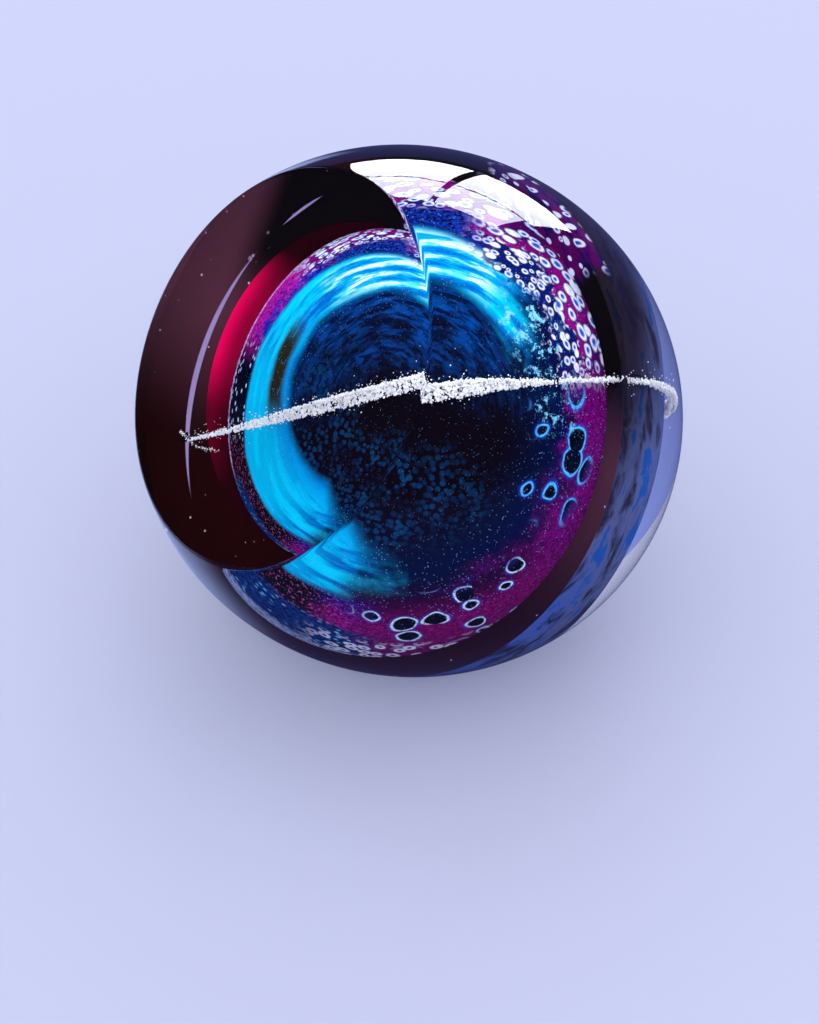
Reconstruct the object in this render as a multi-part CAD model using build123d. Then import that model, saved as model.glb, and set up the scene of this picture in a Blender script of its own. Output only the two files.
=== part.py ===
# Glass paperweight: a clear ball of cased glass with one large polished window and
# a ground foot, and four coloured pieces sealed inside it, one round another.
# Millimetres, +Z up. The origin is the centre of the foot, and the window faces -Y
# and upwards. Azimuths are in degrees from +X, and elevations in degrees above level.

import os
from math import cos, radians, sin, sqrt

from build123d import *

# ---- Colour core: a slightly flattened gather of coloured glass ----
core_radius = 23.9              # across the flattening
core_flattening = 2.0           # how much shorter the core's half depth is
core_azimuth = -133.0           # direction of the flattening
core_elevation = 17.5
core_offset = (1.4, 1.2, -0.4)  # middle of the core from the middle of the ball

# ---- Clear casing: glass gathered over the core, and drawn out towards the back ----
casing_cover = 14.1             # clear glass over the core, at the ball's waist
ball_stretch = 3.3              # how much longer the ball's half length is than its radius
window_cover = 3.6              # clear glass left between the core and the window
window_elevation = 39.2         # how far the window looks up
window_rim_radius = 0.9         # rounding that polishing leaves on the window's rim
foot_depth = 2.5                # how much is ground off the bottom to make the foot
foot_edge = 0.5                 # chamfer round the foot, against chipping

# ---- Dark ground: a bowl of opaque dark glass under the core, open towards the window ----
ground_cover = 0.8              # clear glass over the bowl, where it follows the ball
ground_floor = 1.45             # thickness of the bowl under the core, where it follows a sphere
ground_offset = (-3.0, -9.0, 3.1)  # middle of that sphere from the middle of the ball
ground_drop = 0.8               # how far the bowl's flat top lies behind the core's middle
ground_azimuth = -65.7          # direction that the flat top faces
ground_elevation = 34.5

# ---- Ruby layer: a crescent of red glass let into the bowl's top, on one side of the core ----
ruby_thickness = 5.0            # in the middle of the crescent
ruby_edge = 0.9                 # at its blunt ends
ruby_azimuth = -139.0           # direction of the crescent's middle
ruby_elevation = 4.5

# ---- Frit trail: a ribbon of crushed white glass wound round the core ----
trail_width_front = 2.8         # along the surface of the core, where the ribbon was laid on thickest
trail_width_back = 0.6          # on the other side of the core, where it ran out
trail_depth = 1.3               # square to the surface of the core
front_azimuth = -53.0           # direction of the ribbon's widest place
front_elevation = 38.0
trail_clearance = 0.35          # clear glass between the core and the trail
trail_reach = 8.0               # how far the loop is drawn out to one side
trail_taper = 1.3               # how much smaller the loop's radius is at that end
trail_azimuth = 160.3           # direction square to the loop
trail_elevation = 43.1
reach_azimuth = -127.8          # direction in which the loop is drawn out
reach_elevation = -18.4


def direction(azimuth, elevation):
    """The unit vector that points along an azimuth and an elevation."""
    level = cos(radians(elevation))
    return Vector(level * cos(radians(azimuth)), level * sin(radians(azimuth)), sin(radians(elevation)))


def ovoid(radius, half_length, plane):
    """A ball of glass about a plane's origin, drawn out or flattened along its normal."""
    return plane.location * scale(Sphere(radius), by=(1, 1, half_length / radius))


def beyond(plane, reach):
    """A block that fills the side of a plane to which its normal points."""
    return plane.location * Box(reach, reach, reach, align=(Align.CENTER, Align.CENTER, Align.MIN))


# Every piece is built about the middle of the ball, and is moved onto its foot at the end.
core_plane = Plane(origin=core_offset, z_dir=direction(core_azimuth, core_elevation))
core_half_depth = core_radius - core_flattening

ball_radius = core_radius + casing_cover
ball_half_length = ball_radius + ball_stretch
window_normal = direction(-90, window_elevation)
window_plane = Plane(origin=window_normal * (core_radius + window_cover), z_dir=window_normal)
ball_plane = Plane(origin=(0, 0, 0), z_dir=window_normal)

# The ball's long axis is tilted, so its lowest point lies a little behind its middle.
ball_drop = sqrt((ball_radius * window_normal.Y)**2 + (ball_half_length * window_normal.Z)**2)
lowest_y = -(ball_half_length**2 - ball_radius**2) * window_normal.Y * window_normal.Z / ball_drop
foot_drop = ball_drop - foot_depth
foot_plane = Plane(origin=(0, 0, -foot_drop), z_dir=(0, 0, -1))
onto_foot = Pos(0, -lowest_y * foot_drop / ball_drop, foot_drop)

ground_radius = (Vector(core_offset) - Vector(ground_offset)).length + core_half_depth + ground_floor
ground_normal = direction(ground_azimuth, ground_elevation)
ground_plane = Plane(origin=Vector(core_offset) - ground_normal * ground_drop, z_dir=ground_normal)

trail_radius = core_radius + trail_clearance + trail_depth / 2
nose_radius = trail_radius - trail_taper
trail_plane = Plane(
    origin=core_offset,
    x_dir=direction(reach_azimuth, reach_elevation),
    z_dir=direction(trail_azimuth, trail_elevation),
)


def colour_core():
    """The coloured gather in the middle."""
    return ovoid(core_radius, core_half_depth, core_plane)


def bowl_form():
    """The bowl before anything is let into it: it follows the ball on one side and a sphere on the other."""
    along_ball = ovoid(ball_radius - ground_cover, ball_half_length - ground_cover, ball_plane)
    bowl = along_ball & (Pos(ground_offset) * Sphere(ground_radius))
    return bowl - beyond(ground_plane, 4 * ball_half_length)


def trail_outline(outwards):
    """The loop's outline, moved outwards: a belt round two circles of unlike size."""
    with BuildSketch(trail_plane) as outline:
        Circle(trail_radius + outwards)
        with Locations((trail_reach, 0)):
            Circle(nose_radius + outwards)
        make_hull()
    return outline.sketch


def frit_trail():
    """A closed ribbon that stands on edge round the core, cut by a wedge to taper from front to back."""
    ring = trail_outline(trail_depth / 2) - trail_outline(-trail_depth / 2)
    band = extrude(ring, trail_width_front, both=True)
    middle_width = (trail_width_front + trail_width_back) / 2
    taper = (trail_width_front - trail_width_back) / (2 * trail_radius)
    run = trail_radius + trail_reach / 2
    wide = middle_width + taper * run
    narrow = middle_width - taper * run
    across = trail_plane.z_dir.cross(direction(front_azimuth, front_elevation))
    wedge_plane = Plane(origin=core_offset, x_dir=across.cross(trail_plane.z_dir), z_dir=-across)
    near = [(run, -wide / 2), (run, wide / 2)]
    far = [(-run, narrow / 2), (-run, -narrow / 2)]
    profile = Polyline(near + far, close=True)
    return band & extrude(wedge_plane * make_face(profile), 2 * run, both=True)


def ruby_form():
    """The core's own form moved sideways, and cut off where it thins out to its blunt edges."""
    outward = direction(ruby_azimuth, ruby_elevation)
    edge_height = core_half_depth * ruby_edge / ruby_thickness
    edge_plane = Plane(origin=Vector(core_offset) + outward * edge_height, z_dir=outward)
    return (Pos(outward * ruby_thickness) * colour_core()) & beyond(edge_plane, 4 * core_radius)


def clear_casing(sealed_in):
    """The ball with its polished window and its foot, closed round the pieces sealed in it."""
    reach = 4 * ball_half_length
    ball = ovoid(ball_radius, ball_half_length, ball_plane) - beyond(window_plane, reach)
    window = ball.faces().filter_by(GeomType.PLANE)[0]
    ball = fillet(window.edges(), window_rim_radius) - beyond(foot_plane, reach)
    foot = ball.faces().sort_by(Axis.Z)[0]
    return chamfer(foot.edges(), foot_edge) - sealed_in


core = colour_core()
trail = frit_trail()
bowl = bowl_form()
cap = ruby_form()
ruby = (bowl & cap) - core - trail
ground = bowl - cap - core - trail
casing = clear_casing([bowl, core, trail])

pieces = {
    "clear_casing": casing,
    "colour_core": core,
    "ruby_layer": ruby,
    "dark_ground": ground,
    "frit_trail": trail,
}

os.makedirs("parts", exist_ok=True)
for name, piece in pieces.items():
    export_step(onto_foot * piece, f"parts/{name}.step")
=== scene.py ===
import bmesh
import bpy
import math
import random
from mathutils import Matrix, Vector, noise
from mathutils.bvhtree import BVHTree


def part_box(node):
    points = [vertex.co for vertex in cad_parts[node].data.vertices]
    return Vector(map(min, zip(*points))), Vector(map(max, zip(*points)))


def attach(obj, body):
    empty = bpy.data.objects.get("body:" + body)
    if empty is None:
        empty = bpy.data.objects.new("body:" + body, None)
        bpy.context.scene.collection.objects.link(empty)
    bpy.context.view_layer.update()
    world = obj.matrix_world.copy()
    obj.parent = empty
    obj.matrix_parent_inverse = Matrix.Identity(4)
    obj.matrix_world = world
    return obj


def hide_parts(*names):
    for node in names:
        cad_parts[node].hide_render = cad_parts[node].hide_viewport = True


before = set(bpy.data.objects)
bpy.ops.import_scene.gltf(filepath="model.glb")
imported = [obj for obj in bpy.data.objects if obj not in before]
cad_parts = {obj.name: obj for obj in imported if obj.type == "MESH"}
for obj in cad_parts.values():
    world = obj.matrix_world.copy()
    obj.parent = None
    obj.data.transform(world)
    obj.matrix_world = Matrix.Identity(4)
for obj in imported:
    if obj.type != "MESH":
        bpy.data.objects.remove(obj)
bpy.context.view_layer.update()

# ---- Helpers ----
# Lengths are in metres where nothing else is said. Colours are given by their display values,
# and every pattern is worked out by nodes from the place on the piece.
millimetres = 1000.0  # in a metre


def compass(azimuth, elevation):
    """The unit vector that points along an azimuth and an elevation, in degrees."""
    level = math.cos(math.radians(elevation))
    return Vector((
        level * math.cos(math.radians(azimuth)),
        level * math.sin(math.radians(azimuth)),
        math.sin(math.radians(elevation)),
    ))


def tint(red, green, blue):
    """A linear colour from its display values, which run from 0 to 255."""
    display = [value / 255 for value in (red, green, blue)]
    return tuple(v / 12.92 if v <= 0.04045 else ((v + 0.055) / 1.055) ** 2.4 for v in display)


def added(name, data):
    """A new object with its data, in the scene."""
    thing = bpy.data.objects.new(name, data)
    bpy.context.collection.objects.link(thing)
    return thing


def dress(piece, material):
    """Gives a piece one material all over."""
    piece.data.materials.clear()
    piece.data.materials.append(material)


class Nodes:
    """A node tree that is built one call at a time."""

    def __init__(self, tree):
        self.tree = tree

    def put(self, socket, value):
        """Links a socket to another node's output, or sets its value."""
        if isinstance(value, bpy.types.NodeSocket):
            self.tree.links.new(value, socket)
        elif socket.type == "RGBA" and len(value) == 3:
            socket.default_value = (*value, 1.0)
        else:
            socket.default_value = value

    def add(self, kind, settings=None, **inputs):
        """A node with its settings, and its inputs by name, or by number after an underscore."""
        node = self.tree.nodes.new("ShaderNode" + kind)
        for name, value in (settings or {}).items():
            setattr(node, name, value)
        for name, value in inputs.items():
            key = int(name[1:]) if name[0] == "_" else name.replace("_", " ")
            self.put(node.inputs[key], value)
        return node

    def maths(self, operation, first, second=0.0):
        return self.add("Math", {"operation": operation}, _0=first, _1=second).outputs[0]

    def plus(self, first, second):
        return self.maths("ADD", first, second)

    def minus(self, first, second):
        return self.maths("SUBTRACT", first, second)

    def larger(self, first, second):
        return self.maths("MAXIMUM", first, second)

    def above(self, value, limit):
        """One where a value is above a limit, and nought elsewhere."""
        return self.maths("GREATER_THAN", value, limit)

    def product(self, *factors):
        result = factors[0]
        for factor in factors[1:]:
            result = self.maths("MULTIPLY", result, factor)
        return result

    def in_degrees(self, angle):
        return self.maths("DEGREES", angle)

    def vector(self, operation, first, second=(0, 0, 0)):
        node = self.add("VectorMath", {"operation": operation}, _0=first, _1=second)
        return node.outputs["Value" if operation in ("DOT_PRODUCT", "LENGTH") else "Vector"]

    def dot(self, first, second):
        return self.vector("DOT_PRODUCT", first, tuple(second))

    def scaled(self, first, factor):
        return self.add("VectorMath", {"operation": "SCALE"}, _0=first, Scale=factor).outputs["Vector"]

    def joined(self, x, y, z):
        return self.add("CombineXYZ", _0=x, _1=y, _2=z).outputs[0]

    def parts(self, vector):
        return self.add("SeparateXYZ", _0=vector).outputs

    def band(self, value, start, end, low=0.0, high=1.0):
        """Goes smoothly from low at start to high at end, and is clamped beyond them."""
        node = self.add("MapRange", {"interpolation_type": "SMOOTHSTEP"}, _0=value)
        for socket, setting in zip(node.inputs[1:5], (start, end, low, high)):
            self.put(socket, setting)
        return node.outputs[0]

    def hump(self, value, low, high, soft):
        """One between two limits, and nought beyond them."""
        return self.product(
            self.band(value, low - soft, low + soft),
            self.band(value, high + soft, high - soft),
        )

    def blend(self, factor, low, high):
        """A number that goes from low to high as the factor goes from nought to one."""
        return self.add("MapRange", _0=factor, _3=low, _4=high).outputs[0]

    def mix(self, factor, first, second):
        """A colour that goes from the first to the second as the factor goes from nought to one."""
        return self.add("Mix", {"data_type": "RGBA"}, _0=factor, _6=first, _7=second).outputs[2]

    def noise(self, vector, scale, detail=2.0, roughness=0.5):
        return self.add("TexNoise", Vector=vector, Scale=scale, Detail=detail, Roughness=roughness).outputs

    def cells(self, vector, scale, randomness=1.0, dimensions="3D"):
        """A net of cells: how far off each cell's middle is, and three chances of the cell's own."""
        settings = {"voronoi_dimensions": dimensions}
        net = self.add("TexVoronoi", settings, Vector=vector, Scale=scale, Randomness=randomness)
        return net.outputs["Distance"], self.parts(net.outputs["Color"])

    def stirred(self, vector, scale, amount, detail=2.0):
        """The vector, moved about by noise."""
        drift = self.vector("SUBTRACT", self.noise(vector, scale, detail)["Color"], (0.5, 0.5, 0.5))
        return self.vector("ADD", vector, self.scaled(drift, amount))

    def dust(self, vector, scale, size, share):
        """Small dots: a share of the cells of a net hold one each, of unlike sizes."""
        gap, chance = self.cells(vector, scale)
        reach = self.product(self.above(share, chance[0]), self.band(chance[1], 0, 1, size / 3, size))
        return self.band(gap, reach, self.product(reach, 0.5))


class Shader(Nodes):
    """A material's nodes."""

    def __init__(self, name):
        self.material = bpy.data.materials.new(name)
        self.material.use_nodes = True
        super().__init__(self.material.node_tree)
        self.tree.nodes.clear()

    def here(self):
        """The place on the piece."""
        return self.add("TexCoord").outputs["Object"]

    def finish(self, **inputs):
        """The material, with the surface that the inputs describe."""
        surface = self.add("BsdfPrincipled", **inputs).outputs[0]
        self.add("OutputMaterial", Surface=surface)
        return self.material

    def matt(self, colour, roughness=0.5):
        """The material without any gloss of its own."""
        return self.finish(Base_Color=colour, Roughness=roughness, Specular_IOR_Level=0.0)


# ---- Colour core ----
# A slightly flattened gather of coloured glass in the middle of the ball. Powders, threads and
# slices of cane were melted onto it in rings round one point, its eye: near-black in the middle,
# then a bright cyan ring, then violet and magenta powder and a magenta web with pale cells.
core_low, core_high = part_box("colour_core")
core_centre = (core_low + core_high) / 2
eye = Vector((0.607, -0.478, 0.643)).normalized()  # the way from the core's middle to its eye
sideways_hint = Vector((0.511, 0.859, 0.0))        # directions round the eye count from this side
across = (sideways_hint - eye * eye.dot(sideways_hint)).normalized()
over = eye.cross(across)
window_view = Vector((0.4385, -0.5786, 0.687)).normalized()  # the way out through the window to the camera
thread_twist = 9.0 / 57.3  # how far the threads' noise moves on, for each degree off the eye


class CoreShader(Shader):
    """The core's colours follow the angle off its eye and the way round the eye, both in degrees."""

    def __init__(self, name):
        super().__init__(name)
        self.heading = self.vector("NORMALIZE", self.vector("SUBTRACT", self.here(), tuple(core_centre)))
        drawn = self.vector("NORMALIZE", self.stirred(self.heading, 2.2, 0.1, 3.0))
        right, up, out = [self.dot(drawn, axis) for axis in (across, over, eye)]
        self.angle = self.in_degrees(self.maths("ARCCOSINE", out))
        self.way = self.vector("NORMALIZE", self.joined(right, up, 0.0))
        self.side_angle = self.in_degrees(self.maths("ARCCOSINE", self.dot(self.heading, window_view)))

        # Threads drawn out round the eye, soft clouds, and the powders' grain.
        twist = self.joined(0.0, 0.0, self.product(self.angle, thread_twist))
        thread = self.vector("ADD", self.scaled(self.way, 1.1), twist)
        self.silk = self.noise(thread, 1.6, 5.0, 0.65)["Fac"]
        self.fine_silk = self.noise(thread, 4.0, 4.0, 0.6)["Fac"]
        self.cloud = self.noise(self.heading, 4.5, 4.0, 0.6)["Fac"]
        self.grain = self.noise(self.heading, 46, 3.0, 0.8)["Fac"]

        # How far a place lies outside the cyan ring: exactly, and with a cloudy edge.
        outer = self.plus(60.0, self.product(self.leaning(170), 11.0))
        self.past_ring = self.minus(self.angle, outer)
        self.drift = self.plus(self.past_ring, self.band(self.cloud, 0.3, 0.7, -6, 6))

    def leaning(self, middle):
        """One in a direction round the eye, nought square to it and minus one opposite."""
        return self.dot(self.way, (math.cos(math.radians(middle)), math.sin(math.radians(middle)), 0))

    def sector(self, middle, half, soft):
        """One within half degrees of a direction round the eye, and nought well beyond."""
        limits = [math.cos(math.radians(min(half + side * soft, 180))) for side in (1, -1)]
        return self.band(self.leaning(middle), *limits)

    def patch(self, middle, half, low, high, soft=3.0):
        """A sector between two angles off the eye."""
        return self.product(self.sector(middle, half, 2 * soft), self.hump(self.angle, low, high, soft))

    def net(self, seam, around, along, shift, randomness=0.7, stir=0.35):
        """Cells so many degrees apart round the eye and outwards, with a seam in one direction."""
        turn = math.radians(seam - 180)
        ahead = self.dot(self.way, (math.cos(turn), math.sin(turn), 0))
        aside = self.dot(self.way, (-math.sin(turn), math.cos(turn), 0))
        bearing = self.in_degrees(self.maths("ARCTAN2", aside, ahead))
        outwards = self.plus(self.maths("DIVIDE", self.angle, along), shift)
        spot = self.joined(self.maths("DIVIDE", bearing, around), outwards, 0)
        return self.cells(self.stirred(spot, 0.7, stir), 1.0, randomness, "2D")

    def speckled(self, colour, start, end, share, dark):
        """The colour, with a share of a dark one where the grain falls from start to end."""
        return self.mix(self.band(self.grain, start, end), colour, self.mix(share, colour, dark))


def eye_colour(glass):
    """Navy that is nearly black, with brushed blue over its upper side and a dim mosaic below."""
    colour = glass.mix(glass.band(glass.angle, 26, 48), tint(10, 4, 14), tint(2, 14, 52))
    brushed = glass.product(
        glass.band(glass.silk, 0.36, 0.66, 0.25, 1.0),
        glass.band(glass.angle, 8, 26),
        glass.sector(95, 74, 30),
    )
    blue = glass.mix(glass.band(glass.fine_silk, 0.4, 0.62), tint(0, 20, 56), tint(3, 66, 146))
    colour = glass.mix(brushed, colour, blue)
    mosaic, _ = glass.cells(glass.heading, 29, 0.7)
    beads = glass.product(
        glass.band(mosaic, 0.6, 0.3),
        glass.hump(glass.angle, 11, 38, 5),
        glass.sector(-132, 88, 26),
        glass.band(glass.cloud, 0.3, 0.62, 0.25, 0.9),
    )
    dim = glass.mix(glass.band(glass.cloud, 0.4, 0.6), tint(5, 26, 64), tint(7, 56, 100))
    return glass.mix(beads, colour, dim)


def with_cyan_ring(glass, colour):
    """A cyan ring, open on the right, streaked, with painted highlights over the top and painted shade on its
    inner side at the left, and tapered at its lower end.
    """
    lower_end = glass.leaning(-75)
    inner = glass.plus(35.0, glass.product(glass.leaning(120), 9.0))
    inner = glass.plus(inner, glass.band(lower_end, 0.6, 0.97, 0.0, 12.0))
    rise = glass.minus(glass.angle, inner)
    opening = glass.plus(glass.leaning(147), glass.noise(glass.heading, 4.5, 4.0)["Fac"])
    ring = glass.product(
        glass.band(rise, -2.5, glass.band(lower_end, 0.6, 0.95, 3.0, 17.0)),
        glass.band(glass.past_ring, 2.5, -2.0),
        glass.band(opening, 0.03, 0.38),
    )
    lively = glass.larger(glass.band(glass.silk, 0.34, 0.6), glass.product(glass.sector(-168, 36, 16), 0.75))
    cyan = glass.mix(lively, tint(0, 104, 190), tint(0, 214, 255))
    # Painted shade: the ring's inner side at the left is darkened to a deeper cyan.
    deeper = glass.product(glass.band(rise, 16, 1), glass.sector(-160, 60, 30), 0.7)
    cyan = glass.mix(deeper, cyan, tint(0, 126, 220))
    # Painted highlight: pale streaks over the ring's top stand for the window mirrored inside the glass.
    pale = glass.product(
        glass.hump(rise, 2, 17, 3),
        glass.sector(88, 26, 9),
        glass.band(glass.silk, 0.47, 0.57),
        glass.band(glass.cloud, 0.34, 0.5, 0.15, 1),
    )
    cyan = glass.mix(pale, cyan, tint(226, 255, 255))
    slit = glass.product(
        glass.hump(rise, 4, 13, 2.0),
        glass.sector(160, 20, 10),
        glass.band(glass.fine_silk, 0.25, 0.4),
    )
    cyan = glass.mix(slit, cyan, tint(40, 36, 18))
    return glass.mix(ring, colour, cyan)


def with_powder(glass, colour):
    """Powder outside the ring: blue, then violet, then magenta, and midnight blue over the ring's top."""
    powder = glass.mix(glass.band(glass.drift, 0, 11), tint(20, 40, 190), tint(190, 24, 170))
    powder = glass.speckled(powder, 0.56, 0.42, 0.82, tint(4, 2, 26))
    midnight = glass.mix(glass.band(glass.grain, 0.4, 0.62), tint(3, 6, 40), tint(16, 48, 156))
    at_top = glass.product(glass.sector(92, 20, 8), glass.band(glass.angle, 78, 70))
    powder = glass.mix(at_top, powder, midnight)
    return glass.mix(glass.band(glass.past_ring, -3.0, 3.0), colour, powder)


def with_dusk(glass, colour):
    """On the right, navy dust that turns magenta towards the edge."""
    dusk = glass.mix(glass.band(glass.drift, -4, 12), tint(4, 12, 66), tint(122, 3, 120))
    dusk = glass.speckled(dusk, 0.58, 0.4, 0.7, tint(2, 2, 24))
    where = glass.product(glass.sector(-10, 58, 16), glass.band(glass.angle, 40, 52))
    return glass.mix(where, colour, dusk)


def with_plum(glass, colour):
    """On the lower side, deep magenta over navy."""
    plum = glass.mix(glass.band(glass.angle, 56, 76), tint(30, 4, 46), tint(136, 8, 112))
    plum = glass.speckled(plum, 0.6, 0.42, 0.6, tint(20, 0, 26))
    where = glass.product(glass.sector(-80, 30, 12), glass.band(glass.angle, 48, 60))
    return glass.mix(where, colour, plum)


def with_dotted_edge(glass, colour):
    """On the left-hand edge, a black band with pale dots, and pink dust below it."""
    dot, chance = glass.net(0, 3.4, 2.6, 0.1)
    dots = glass.product(glass.band(dot, 0.3, 0.16), glass.above(chance[1], 0.5))
    dotted = glass.mix(dots, tint(4, 4, 26), tint(176, 208, 255))
    pink = glass.mix(glass.band(glass.grain, 0.56, 0.66), tint(14, 3, 14), tint(186, 84, 140))
    edge = glass.mix(glass.sector(160, 28, 10), pink, dotted)
    where = glass.product(glass.sector(-160, 42, 8), glass.band(glass.past_ring, -2, 1))
    return glass.mix(where, colour, edge)


def with_flecked_navy(glass, colour):
    """On the lower left, navy with blue flecks, and a pale edge outside it."""
    fleck, chance = glass.net(0, 2.6, 2.0, 0.3)
    flecks = glass.product(
        glass.band(fleck, 0.36, 0.12),
        glass.above(chance[0], 0.5),
        glass.band(glass.cloud, 0.42, 0.6),
    )
    navy = glass.mix(glass.band(glass.grain, 0.35, 0.65), tint(2, 8, 44), tint(6, 58, 140))
    navy = glass.mix(flecks, navy, tint(110, 196, 255))
    pale_edge = glass.product(glass.band(glass.angle, 97, 102), glass.band(glass.grain, 0.3, 0.6))
    navy = glass.mix(pale_edge, navy, tint(170, 186, 240))
    where = glass.product(glass.sector(-128, 22, 8), glass.band(glass.angle, 76, 81))
    return glass.mix(where, colour, navy)


def with_lilac_line(glass, colour):
    """On the upper left, a thin lilac line just inside the edge that the window shows."""
    lilac = glass.mix(glass.band(glass.grain, 0.44, 0.56), tint(128, 30, 132), tint(240, 214, 252))
    where = glass.product(glass.sector(160, 44, 8), glass.hump(glass.side_angle, 82, 85, 1))
    return glass.mix(where, colour, lilac)


def lace(glass, net, smallest, largest, below, surround):
    """Pale oval cells over the colour below, each in a dark surround, and most with a blue middle."""
    gap, chance = net
    size = glass.band(chance[1], 0, 1, smallest, largest)
    past = glass.minus(gap, size)
    surrounded = glass.mix(glass.band(past, 0.2, 0.06), below, surround)
    middle = glass.product(
        glass.above(chance[2], 0.25),
        glass.band(gap, glass.product(size, 0.72), glass.product(size, 0.26)),
    )
    milk = glass.mix(glass.band(glass.grain, 0.4, 0.6), tint(206, 216, 255), tint(246, 244, 255))
    cells = glass.mix(middle, milk, tint(12, 84, 196))
    return glass.mix(glass.band(past, 0.08, -0.1), surrounded, cells)


def with_web(glass, colour):
    """Over the upper right, a magenta web with pale cells, smaller and closer towards the ring."""
    magenta = glass.mix(glass.band(glass.cloud, 0.35, 0.65), tint(76, 0, 88), tint(150, 2, 122))
    large = lace(glass, glass.net(-120, 5.6, 3.8, 0.5), 0.3, 0.46, magenta, tint(16, 14, 96))
    fine = lace(glass, glass.net(-120, 4.0, 2.8, 0.2), 0.24, 0.44, tint(8, 22, 100), tint(4, 10, 62))
    web = glass.mix(glass.band(glass.drift, 9, 12), fine, large)
    lower = glass.product(glass.sector(43, 28, 8), glass.band(glass.drift, -3, 1))
    upper = glass.product(glass.sector(86, 34, 8), glass.band(glass.angle, 71, 75))
    return glass.mix(glass.larger(lower, upper), colour, web)


def with_bubbles(glass, colour):
    """Bubbles that are black inside and have thin bright rims, to the right and below."""
    to_right = glass.patch(-14, 22, 38, 64)
    below = glass.patch(-74, 34, 58, 86)
    for around, along, left_out, where, rim in (
        (12.5, 9.5, 0.28, to_right, tint(80, 190, 255)),
        (10, 9, 0.5, below, tint(210, 232, 255)),
    ):
        gap, chance = glass.net(120, around, along, 0.7, 0.7, 0.6)
        past = glass.minus(gap, glass.band(chance[1], 0, 1, 0.2, 0.42))
        held = glass.product(glass.above(chance[0], left_out), where)
        halo = glass.product(held, glass.band(past, 0.17, 0.02), 0.7)
        colour = glass.mix(halo, colour, tint(24, 60, 190))
        colour = glass.mix(glass.product(held, glass.band(past, 0.02, -0.01)), colour, tint(2, 4, 20))
        line = glass.band(glass.maths("ABSOLUTE", past), 0.055, 0.015)
        colour = glass.mix(glass.product(held, line, glass.band(glass.grain, 0.3, 0.5)), colour, rim)
    return colour


def with_pale_cells(glass, colour):
    """Pale cells with dark middles, packed along the lower edge."""
    gap, _ = glass.net(90, 4.6, 4.8, 0.0)
    cells = glass.product(
        glass.band(gap, 0.42, 0.32),
        glass.band(gap, 0.1, 0.16),
        glass.sector(-94, 24, 8),
        glass.band(glass.angle, 82, 87),
    )
    return glass.mix(cells, colour, tint(226, 226, 255))


def with_glitter(glass, colour):
    """Glitter, most of it in the dark parts, and pale splashes on the right."""
    coarse = glass.dust(glass.heading, 38, 0.14, 0.13)
    fine = glass.dust(glass.heading, 105, 0.42, 0.24)
    amount = glass.product(glass.larger(glass.hump(glass.angle, 36, 74, 8), 0.25), 0.7)
    colour = glass.mix(glass.product(glass.larger(coarse, fine), amount), colour, tint(120, 176, 250))
    spray = glass.noise(glass.heading, 14, 6.0, 0.8)["Fac"]
    splash = glass.product(glass.band(spray, 0.55, 0.61), glass.patch(24, 28, 38, 55, 4))
    return glass.mix(splash, colour, tint(130, 214, 255))


def core_glass():
    glass = CoreShader("cased_colour_glass")
    colour = eye_colour(glass)
    for layer in (
        with_cyan_ring,
        with_powder,
        with_dusk,
        with_plum,
        with_dotted_edge,
        with_flecked_navy,
        with_lilac_line,
        with_web,
        with_bubbles,
        with_pale_cells,
        with_glitter,
    ):
        colour = layer(glass, colour)
    return glass.matt(colour)


dress(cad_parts["colour_core"], core_glass())

# ---- Dark ground ----
# A bowl of opaque dark maroon glass under the core, open towards the window. It is partly painted
# shade: its dark top stands for the floor in shadow under the ball, seen through the window, while the
# web on it and its mottled back are the glass's own. The flat top is plain but for a painted lilac
# highlight, and the back is mottled with blue and grey where the powder on it ran.
ground_normal = compass(-65.7, 34.5)
ground_side = Vector((0, 0, 1)).cross(ground_normal).normalized()
ground_up = ground_normal.cross(ground_side)
# The lilac arc in the top is a painted highlight: a glint of window light, broken into specks at one end.
glint_middle = (6.0, -1.5, 0.0)  # of the lilac arc in the top, in millimetres sideways and upwards
glint_radius = 35.5
glint_lenses = (  # degrees round to each lens, and half its length, then half its width and its soft edge
    (-8.0, 33.0, 0.6, 0.2),
    (39.0, 7.0, 0.28, 0.15),
)


def top_place(glass):
    """Millimetres sideways, upwards and forwards of the core's middle, in the plane of the bowl's top."""
    place = glass.scaled(glass.vector("SUBTRACT", glass.here(), tuple(core_centre)), millimetres)
    return [glass.dot(place, axis) for axis in (ground_side, ground_up, ground_normal)]


def mottled_back(glass, place, upwards, forwards):
    """Powder on the outside of the bowl: grey and blue low down, and blue below the window's rim."""
    patches = glass.noise(glass.stirred(place, 90, 0.01), 150, 4.0, 0.6)["Fac"]
    low_down = glass.band(glass.parts(place)[2], 0.046, 0.03)
    dark = glass.mix(low_down, tint(17, 9, 13), tint(38, 36, 56))
    grey = glass.mix(low_down, tint(34, 26, 36), tint(86, 98, 148))
    blue = glass.mix(low_down, tint(14, 16, 40), tint(30, 84, 168))
    back = glass.mix(glass.band(patches, 0.38, 0.54), dark, grey)
    back = glass.mix(glass.band(patches, 0.57, 0.62), back, blue)
    rim = glass.product(glass.band(forwards, -12, -3), glass.band(upwards, -4, -16), 0.6)
    rim_blue = glass.mix(glass.band(patches, 0.38, 0.52), tint(14, 14, 40), tint(50, 92, 190))
    return glass.mix(rim, back, rim_blue)


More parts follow.
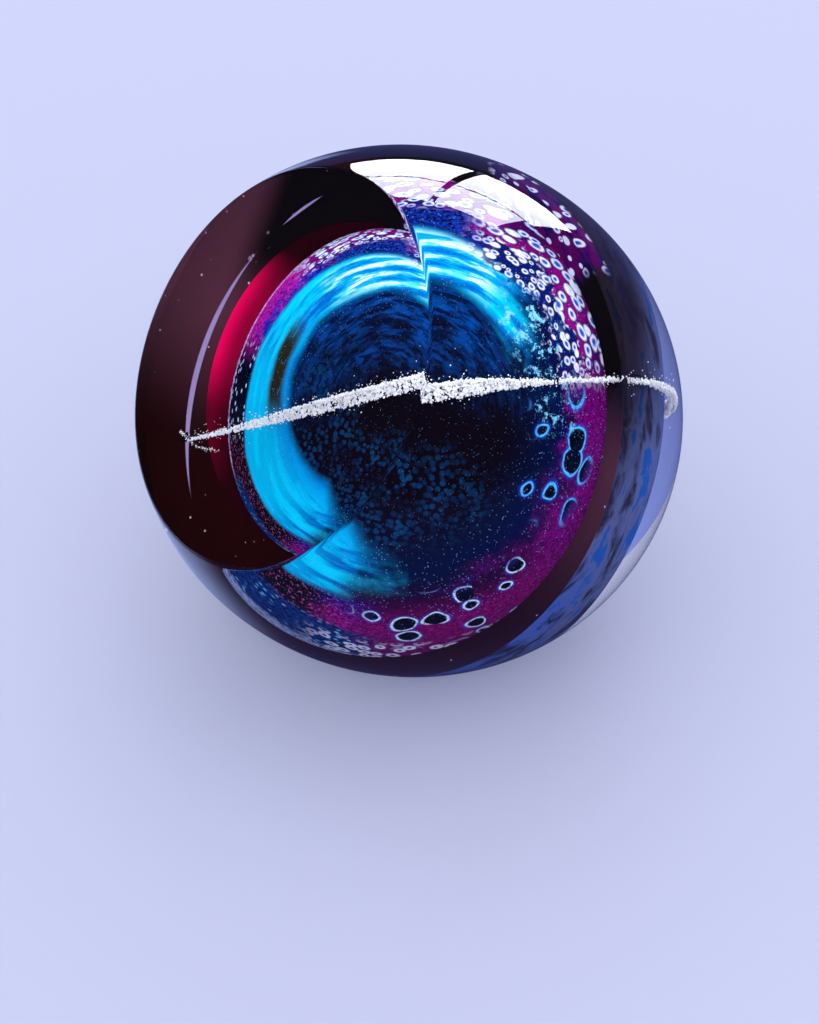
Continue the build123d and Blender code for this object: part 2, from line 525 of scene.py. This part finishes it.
def plain_top(glass, place, sideways, upwards):
    """Maroon glass, paler at the top, with one lilac arc, a painted highlight that breaks into specks, and a
    few stray specks.
    """
    # Painted shade: the dark maroon stands for the floor in shadow under the ball.
    plain = glass.mix(glass.band(upwards, -18, 6), tint(33, 3, 4), tint(87, 47, 61))
    dark_corner = glass.product(glass.band(sideways, -32, -25), glass.band(upwards, 2, 14))
    plain = glass.mix(dark_corner, plain, tint(10, 6, 10))

    spoke = glass.vector("SUBTRACT", glass.joined(sideways, upwards, 0.0), glint_middle)
    spoke_x, spoke_y = glass.parts(spoke)[:2]
    along = glass.in_degrees(glass.maths("ARCTAN2", spoke_y, glass.product(spoke_x, -1.0)))
    off_line = glass.maths("ABSOLUTE", glass.minus(glass.vector("LENGTH", spoke), glint_radius))
    arc = 0.0
    for middle, half_length, half_width, soft in glint_lenses:
        # Each lens comes to a point at both ends.
        off_middle = glass.maths("DIVIDE", glass.minus(along, middle), half_length)
        width = glass.product(glass.minus(1.0, glass.product(off_middle, off_middle)), half_width)
        arc = glass.larger(arc, glass.band(glass.minus(width, off_line), 0.0, soft))
    plain = glass.mix(arc, plain, tint(166, 146, 196))

    # Painted highlight: specks where the glint breaks up.
    near_glint = glass.product(glass.band(off_line, 1.3, 0.4), glass.hump(along, 22, 36, 3))
    specks = glass.product(glass.dust(place, 900, 0.5, 0.34), near_glint)
    plain = glass.mix(specks, plain, tint(230, 210, 240))
    return glass.mix(glass.dust(place, 900, 0.2, 0.1), plain, tint(216, 206, 232))


def top_web(glass, place, sideways, upwards):
    """The core's web, as it runs on over the upper side of the top."""
    gap, chance = glass.cells(glass.joined(sideways, upwards, 0.0), 0.52, 1.0, "2D")
    size = glass.band(chance[0], 0, 1, 0.2, 0.46)
    cells = glass.band(gap, size, glass.product(size, 0.7))
    hearts = glass.product(
        glass.band(gap, glass.product(size, 0.6), glass.product(size, 0.2)),
        glass.above(chance[1], 0.4),
    )
    cloud = glass.noise(place, 500, 2.0)["Fac"]
    web = glass.mix(glass.band(cloud, 0.4, 0.6), tint(90, 0, 84), tint(30, 6, 84))
    return glass.mix(cells, web, glass.mix(hearts, tint(224, 228, 255), tint(20, 70, 190)))


def dark_glass():
    glass = Shader("dark_glass")
    place = glass.here()
    sideways, upwards, forwards = top_place(glass)

    # On the left the plain top's colour runs down over the rim.
    run_down = glass.band(sideways, -14, -23, 0.0, 5.5)
    top = glass.band(glass.plus(forwards, run_down), -1.2, -0.9)
    back = mottled_back(glass, place, upwards, forwards)
    colour = glass.mix(top, back, plain_top(glass, place, sideways, upwards))

    # The web has a ragged edge to the left and a straight, slanting one to the right.
    ragged = glass.plus(sideways, glass.product(glass.noise(place, 230, 3.0)["Fac"], 9.0))
    slanting = glass.plus(sideways, glass.product(upwards, -0.55))
    webbed = glass.product(
        glass.band(ragged, -0.4, 4.0),
        glass.band(slanting, 1.5, -1.5),
        glass.band(forwards, -6.5, -5.0),
    )
    return glass.matt(glass.mix(webbed, colour, top_web(glass, place, sideways, upwards)))


dress(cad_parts["dark_ground"], dark_glass())

# ---- Ruby layer ----
# A crescent of ruby glass let into the top of the dark ground, on one side of the core. It has a painted
# glow of light shining through it: bright where it is thick, at its outer edge, darkening towards the core
# and its ends.
crescent_turn = math.radians(173)  # the way from the core's middle to the crescent's, in the top's plane


def ruby_glass():
    glass = Shader("ruby_glass")
    sideways, upwards, forwards = top_place(glass)
    spoke = glass.joined(sideways, upwards, 0.0)
    way = glass.vector("NORMALIZE", spoke)
    turned = glass.dot(way, (math.cos(crescent_turn), math.sin(crescent_turn), 0))
    # Painted glow: light shining through the ruby, brightest at its thick outer edge.
    painted_glow = glass.product(
        glass.band(turned, 0.5, 0.8),
        glass.band(glass.vector("LENGTH", spoke), 23.5, 27.5, 0.3, 1.0),
        glass.band(upwards, 15, 6),
        glass.band(upwards, -12, -2, 0.12, 1.0),
    )
    crescent = glass.mix(painted_glow, tint(36, 0, 9), tint(255, 0, 92))
    back = mottled_back(glass, glass.here(), upwards, forwards)
    back = glass.mix(glass.band(upwards, 8, -6, 0.0, 0.8), back, tint(34, 84, 214))
    return glass.matt(glass.mix(glass.band(forwards, -2.2, -1.4), back, crescent))


dress(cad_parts["ruby_layer"], ruby_glass())

# ---- Frit trail ----
# A band of crushed white glass. Grains of unlike sizes fill the form of the ribbon, and a few
# lie loose beside it.
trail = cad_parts["frit_trail"]
trail_normal = compass(160.3, 43.1)
trail_nose = compass(-127.8, -18.4)
trail_half_width = 0.00112
nose_start, nose_run, nose_loss = 3, 21, 0.7  # millimetres along the loop, and the share of width lost
tip_end, tip_run = 30.4, 5
far_start, far_run, far_loss = -12, 8, 0.72
upper_lean = 0.25          # how far the grains lie to the ribbon's upper side, as a share of their half width
packed_count = 19000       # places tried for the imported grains
packed_size = 0.0002
packed_depth = 0.0003      # how deep under the ribbon's faces they may lie
hollows = -0.36            # noise below this leaves the band empty
hollows_scale = 1300
loose_count = 5000         # places tried for the loose grains
loose_share = 0.3
upper_share = 0.7          # of the loose grains lie on the band's upper side
loose_size = 0.00007
loose_spread = 0.0004      # how far they lie off the band's edge, on average
loose_depth = 0.0002
facing_outwards = 0.6      # least cosine between a face's normal and the way out
thinnest = 0.0001          # half width under which no loose grains are laid
rim_size = 0.00017         # of the grains on the ground's rim
rim_lift = 0.0001
rim_search = (0.00002, 0.003)  # how far above the ribbon the search for the rim starts, and how far it goes
curl_count = 110
curl_size = 0.00009
curl_start, curl_length = -0.0279, 0.0082  # sideways of the core's middle, in the plane of the ground's top
curl_height, curl_sag = -0.0159, 0.0009    # upwards
curl_spread = 0.00014
curl_depth = 0.0007        # under the core's middle


def scatter(piece, count, dice):
    """Points spread evenly over a piece's faces, with the faces' normals."""
    shape = bmesh.new()
    shape.from_mesh(piece.data)
    bmesh.ops.triangulate(shape, faces=shape.faces[:])
    faces = shape.faces[:]
    areas = [face.calc_area() for face in faces]
    found = []
    for face in dice.choices(faces, weights=areas, k=count):
        a, b = sorted((dice.random(), dice.random()))
        corners = [vertex.co for vertex in face.verts]
        found.append((corners[0] * a + corners[1] * (b - a) + corners[2] * (1 - b), face.normal.copy()))
    shape.free()
    return found


def grain_heap(name, spots, dice):
    """One mesh of many rough grains, each an icosahedron squashed at random."""
    pattern = bmesh.new()
    bmesh.ops.create_icosphere(pattern, subdivisions=1, radius=1.0)
    corners = [vertex.co.copy() for vertex in pattern.verts]
    faces = [[vertex.index for vertex in face.verts] for face in pattern.faces]
    pattern.free()
    points = []
    polygons = []
    for place, size in spots:
        turn = Matrix.Rotation(dice.uniform(0, math.tau), 3, Vector([dice.gauss(0, 1) for _ in range(3)]))
        stretch = [size * dice.uniform(0.65, 1.25) for _ in range(3)]
        start = len(points)
        for corner in corners:
            rough = corner * dice.uniform(0.8, 1.1)
            points.append(place + turn @ Vector([r * s for r, s in zip(rough, stretch)]))
        polygons.extend([start + index for index in face] for face in faces)
    mesh = bpy.data.meshes.new(name)
    mesh.from_pydata(points, [], polygons)
    return added(name, mesh)


def clamped(value):
    return min(max(value, 0), 1)


def ribbon_half_width(place):
    """The band is widest in front, and thins out towards the nose of the loop and the other side."""
    along = (place - core_centre).dot(trail_nose) * millimetres
    slope = 1 - nose_loss * clamped((along - nose_start) / nose_run)
    tip = clamped((tip_end - along) / tip_run)
    other_side = 1 - far_loss * clamped((far_start - along) / far_run)
    return trail_half_width * slope * tip * other_side


def off_band_middle(spot, half_width):
    """How far a place lies to the upper side of the middle of the band of grains."""
    return (spot - core_centre).dot(trail_normal) - upper_lean * half_width


def packed_grains(dice):
    """Grains just under the ribbon's faces, packed but for a few hollows."""
    for place, normal in scatter(trail, packed_count, dice):
        size = packed_size * dice.uniform(0.5, 1.3)
        spot = place - normal * (size + dice.uniform(0.0, packed_depth))
        half_width = ribbon_half_width(spot)
        aside = off_band_middle(spot, half_width)
        packed = noise.noise(spot * hollows_scale) > hollows
        if packed and abs(aside) < half_width * dice.uniform(0.8, 1.08) - size / 3:
            yield spot, size


def loose_grains(dice):
    """Small grains beside the band, more of them above it. Where the ground's rim covers the ribbon,
    the outermost grains lie on the rim instead."""
    ground_skin = bmesh.new()
    ground_skin.from_mesh(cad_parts["dark_ground"].data)
    ground_tree = BVHTree.FromBMesh(ground_skin)
    ground_skin.free()
    search_start, search_reach = rim_search
    for place, normal in scatter(trail, loose_count, dice):
        outwards = (place - core_centre).normalized()
        half_width = ribbon_half_width(place)
        aside = off_band_middle(place, half_width)
        if normal.dot(outwards) < facing_outwards or half_width < thinnest:
            continue
        hit = ground_tree.ray_cast(place + outwards * search_start, outwards, search_reach)
        if hit[0] and abs(aside) < half_width:
            yield hit[0] + outwards * rim_lift, rim_size * dice.uniform(0.6, 1.2)
        elif dice.random() < loose_share:
            side = 1 if dice.random() < upper_share else -1
            edge = side * (half_width + dice.expovariate(1 / loose_spread)) - aside
            spot = place + trail_normal * edge - outwards * loose_depth
            yield spot, loose_size * dice.uniform(0.6, 1.6)


def curl_grains(dice):
    """Behind the tip, a thin curl of specks lies on the ground's top."""
    for _ in range(curl_count):
        share = dice.random() ** 1.3
        sideways = curl_start + curl_length * share
        upwards = curl_height - curl_sag * math.sin(math.pi * share) + dice.gauss(0, curl_spread)
        spot = core_centre + ground_side * sideways + ground_up * upwards - ground_normal * curl_depth
        yield spot, curl_size * dice.uniform(0.5, 1.5)


def white_frit():
    glass = Shader("white_frit")
    shade = glass.noise(glass.here(), 2200, 1.0)["Fac"]
    colour = glass.mix(glass.band(shade, 0.3, 0.5), tint(228, 234, 248), tint(255, 255, 255))
    return glass.matt(colour, 0.6)


dice = random.Random(11)
spots = [*packed_grains(dice), *loose_grains(dice), *curl_grains(dice)]
frit = grain_heap("frit_grains", spots, dice)
dress(frit, white_frit())
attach(frit, "root")
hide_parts("frit_trail")

# ---- Clear casing ----
# The clear glass gathered over the core. It is a ball drawn out a little along one axis, with a
# window ground and polished square to that axis and a ground foot. It is turned here about the
# window's axis as one closed skin, because the coloured pieces lie in the glass itself.
casing_low, casing_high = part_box("clear_casing")
ball_radius = (casing_high.x - casing_low.x) / 2
ball_half_length = ball_radius + 0.0033
window_distance = 0.0275
window_rim_radius = 0.0009
window_elevation = math.radians(39.2)
window_axis = Vector((0, -math.cos(window_elevation), math.sin(window_elevation)))
ball_drop = math.hypot(ball_radius * window_axis.y, ball_half_length * window_axis.z)
foot_depth = 0.0025
foot_drop = ball_drop - foot_depth
foot_edge = 0.0005
lowest_y = -(ball_half_length**2 - ball_radius**2) * window_axis.y * window_axis.z / ball_drop
ball_centre = Vector((0, -lowest_y * foot_drop / ball_drop, foot_drop))
turns = 256
rings = 128
rim_steps = 10
weld_distance = 1e-6
sharp_angle = math.radians(14)  # between faces, past which an edge shows
glass_index = 1.52


def casing_profile():
    """The skin's section from the window's middle to the back, as distances out and along the axis."""
    # The rim's arc touches the window's plane and the ovoid: its centre lies its own radius inside both.
    inner_radius = ball_radius - window_rim_radius
    inner_half = ball_half_length - window_rim_radius
    centre_along = window_distance - window_rim_radius
    centre_out = inner_radius * math.sqrt(1 - (centre_along / inner_half) ** 2)
    slope = math.atan2(centre_along / inner_half**2, centre_out / inner_radius**2)
    section = [(0.0, window_distance)]
    for step in range(rim_steps + 1):
        lean = math.pi / 2 + (slope - math.pi / 2) * step / rim_steps
        out = centre_out + window_rim_radius * math.cos(lean)
        section.append((out, centre_along + window_rim_radius * math.sin(lean)))
    start = math.atan2(section[-1][0] / ball_radius, section[-1][1] / ball_half_length)
    for step in range(1, rings + 1):
        around = start + (math.pi - start) * step / rings
        section.append((ball_radius * math.sin(around), ball_half_length * math.cos(around)))
    return section


def casing_skin():
    skin = bmesh.new()
    line = [skin.verts.new((out, 0, along)) for out, along in casing_profile()]
    edges = [skin.edges.new(pair) for pair in zip(line, line[1:])]
    bmesh.ops.spin(
        skin, geom=line + edges, axis=(0, 0, 1), cent=(0, 0, 0), steps=turns, angle=math.tau, use_merge=True
    )
    bmesh.ops.remove_doubles(skin, verts=skin.verts, dist=weld_distance)
    turn = Vector((0, 0, 1)).rotation_difference(window_axis).to_matrix().to_4x4()
    bmesh.ops.transform(skin, matrix=Matrix.Translation(ball_centre) @ turn, verts=skin.verts)
    everything = skin.verts[:] + skin.edges[:] + skin.faces[:]
    bmesh.ops.bisect_plane(
        skin, geom=everything, plane_co=(0, 0, 0), plane_no=(0, 0, -1), clear_outer=True
    )
    bmesh.ops.edgenet_fill(skin, edges=[edge for edge in skin.edges if edge.is_boundary])
    foot = min(skin.faces, key=lambda face: face.calc_center_median().z)
    bmesh.ops.bevel(skin, geom=foot.edges[:], offset=foot_edge, segments=1, affect="EDGES")
    bmesh.ops.recalc_face_normals(skin, faces=skin.faces)
    for face in skin.faces:
        face.smooth = True
    for edge in skin.edges:
        if len(edge.link_faces) == 2 and edge.calc_face_angle() > sharp_angle:
            edge.smooth = False
    mesh = bpy.data.meshes.new("casing_skin")
    skin.to_mesh(mesh)
    skin.free()
    return added("casing_skin", mesh)


casing = casing_skin()
clear = Shader("clear_glass")
polished = clear.finish(Base_Color=(1.0, 1.0, 1.0), Roughness=0.0, IOR=glass_index, Transmission_Weight=1.0)
dress(casing, polished)
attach(casing, "root")
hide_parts("clear_casing")

# ---- Floor, light and camera ----
# A plain pale floor, a dim room for the glass to mirror, and one tall softbox of four panes.
view_turn = math.radians(59.25)
view_rise = math.radians(40)
towards_camera = Vector((
    math.sin(view_turn) * math.cos(view_rise),
    -math.cos(view_turn) * math.cos(view_rise),
    math.sin(view_rise),
))
view_right = Vector((math.cos(view_turn), math.sin(view_turn), 0))
view_up = towards_camera.cross(view_right)
behind = Vector((-towards_camera.x, -towards_camera.y, 0)).normalized()


def pale_floor():
    """The floor is pale where it is seen straight. The glass would mirror it as a white veil over the
    colours inside, so its mirror image is dim, apart from a lit strip behind the ball on the left.
    Seen through the ball, which bends light from far round it, the floor is a deeper blue."""
    pale = Shader("pale_floor")
    rays = pale.add("LightPath").outputs
    place = pale.here()
    to_left = pale.band(pale.dot(place, view_right), -0.02, -0.045)
    beyond_ball = pale.band(pale.dot(place, behind), -0.03, -0.01)
    nearby = pale.band(pale.vector("LENGTH", place), 0.3, 0.2)
    mirrored = pale.product(rays["Is Glossy Ray"], rays["Is Reflection Ray"])
    dim = pale.product(mirrored, pale.minus(1.0, pale.product(to_left, beyond_ball, nearby)))
    straight_through = pale.maths("LESS_THAN", rays["Diffuse Depth"], 0.5)
    seen_through = pale.product(rays["Is Transmission Ray"], straight_through)
    shade = pale.mix(mirrored, tint(194, 198, 222), tint(180, 202, 255))
    shade = pale.mix(dim, shade, tint(60, 64, 110))
    shade = pale.mix(seen_through, shade, tint(128, 142, 206))
    return pale.matt(shade, 0.6)


floor_reach = 3.0
floor_shape = bmesh.new()
bmesh.ops.create_grid(floor_shape, x_segments=1, y_segments=1, size=floor_reach)
floor_mesh = bpy.data.meshes.new("floor")
floor_shape.to_mesh(floor_mesh)
floor_shape.free()
floor = added("floor", floor_mesh)
dress(floor, pale_floor())


# The strength of the room's light, by what it falls on.
on_floor, on_sealed = 1.3, 2.45
seen_straight, mirrored_in_glass = 0.92, 0.04


def light_room(world):
    """Even light from all round. What is sealed in the glass gets more of it than the floor does, to make
    up for what the glass and the dark ground keep off it. The glass itself mirrors a dark room."""
    world.use_nodes = True
    room = Nodes(world.node_tree)
    rays = room.add("LightPath").outputs
    on_matt = room.blend(rays["Is Transmission Ray"], on_floor, on_sealed)
    seen_or_lighting = room.blend(rays["Diffuse Depth"], seen_straight, on_matt)
    mirrored = room.blend(rays["Is Glossy Ray"], 0.0, rays["Is Reflection Ray"])
    background = world.node_tree.nodes["Background"]
    tone = room.mix(rays["Diffuse Depth"], tint(206, 212, 248), tint(240, 241, 252))
    room.put(background.inputs["Color"], tone)
    room.put(background.inputs["Strength"], room.blend(mirrored, seen_or_lighting, mirrored_in_glass))


world = bpy.data.worlds.new("studio")
bpy.context.scene.world = world
light_room(world)


def softbox(name, place, target, width, height, power):
    """A rectangular area light that faces a point."""
    light = bpy.data.lights.new(name, "AREA")
    light.shape = "RECTANGLE"
    light.size = width
    light.size_y = height
    light.energy = power
    light.color = tint(236, 240, 255)
    lamp = added(name, light)
    lamp.location = place
    lamp.rotation_euler = (Vector(target) - Vector(place)).to_track_quat("-Z", "Y").to_euler()
    return lamp


# The four panes stand behind the ball and a little to one side. Only the glass's skin mirrors them.
panes_turn = Matrix.Rotation(math.radians(-13), 3, "Z")
panes_distance = 1.5
panes_height = Vector((0, 0, 0.6))
panes_middle = ball_centre + panes_turn @ behind * panes_distance + panes_height
panes_side = Vector((0, 0, 1)).cross(panes_middle - ball_centre).normalized()
pane_width, pane_height, pane_power = 0.55, 0.48, 8
pane_aside, pane_above = 0.3, 0.27  # from the softbox's middle to each pane's
for column in (-1, 1):
    for row in (-1, 1):
        spot = panes_middle + panes_side * column * pane_aside + Vector((0, 0, row * pane_above))
        facing = spot + ball_centre - panes_middle
        pane = softbox(f"pane_{column}_{row}", spot, facing, pane_width, pane_height, pane_power)
        pane.visible_transmission = False
        pane.visible_diffuse = False

# One weak lamp above them shades the floor softly round the ball.
key_width, key_height, key_power = 1.2, 1.0, 5
key_place = panes_middle + Vector((0, 0, 0.3))
key = softbox("key", key_place, ball_centre, key_width, key_height, key_power)
key.visible_glossy = False
key.visible_transmission = False

camera_distance = 0.418
aim_drop = 0.01435  # how far below the ball's middle the camera aims, so that the ball stands high in view
camera_data = bpy.data.cameras.new("camera")
camera_data.lens = 102
camera_data.sensor_width = 36
camera = added("camera", camera_data)
camera.location = ball_centre + towards_camera * camera_distance
aim = ball_centre - view_up * aim_drop
camera.rotation_euler = (aim - camera.location).to_track_quat("-Z", "Y").to_euler()
bpy.context.scene.camera = camera
bpy.context.scene.view_settings.view_transform = "Standard"
